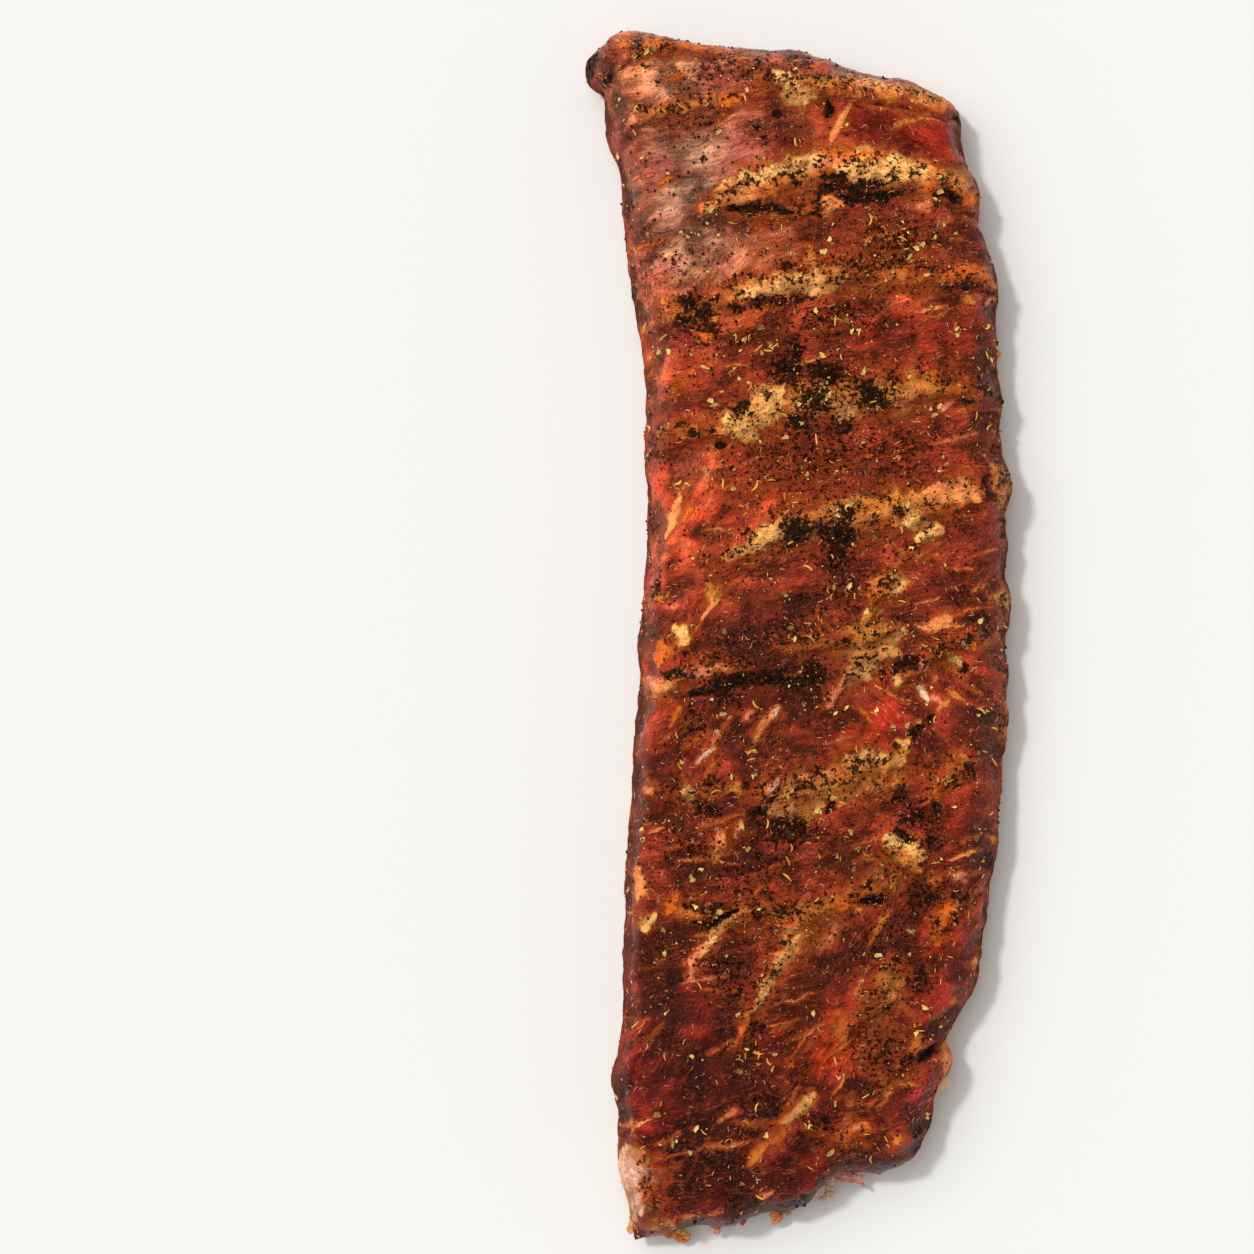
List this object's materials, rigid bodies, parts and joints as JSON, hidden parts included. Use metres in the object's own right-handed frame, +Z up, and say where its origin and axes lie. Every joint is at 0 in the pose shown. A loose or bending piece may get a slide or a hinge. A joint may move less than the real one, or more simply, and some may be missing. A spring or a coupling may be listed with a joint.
{
  "type": "rack of ribs",
  "caption": "Raw rack of pork spare ribs rubbed with pepper and dried herbs, lying meat side up, with its sawn rib ends along one side.",
  "frame": {"origin": "on the board, under the middle of the rack's box", "axes": "+Z up from the bone side to the meat side, +Y along the rack from the narrow tail to the square head, +X towards the sawn rib ends"},
  "size_m": [0.1194, 0.338, 0.028],
  "materials": {
    "rubbed_meat": "moist raw meat with pale fat bands, pepper crust and dried herbs",
    "rib_bone": "moist sawn bone under a thin membrane"
  },
  "bodies": {
    "root": {"meat": "rubbed_meat", "rib_bone_01": "rib_bone", "rib_bone_02": "rib_bone", "rib_bone_03": "rib_bone", "rib_bone_04": "rib_bone", "rib_bone_05": "rib_bone", "rib_bone_06": "rib_bone", "rib_bone_07": "rib_bone", "rib_bone_08": "rib_bone", "rib_bone_09": "rib_bone", "rib_bone_10": "rib_bone"}
  },
  "joints": []
}
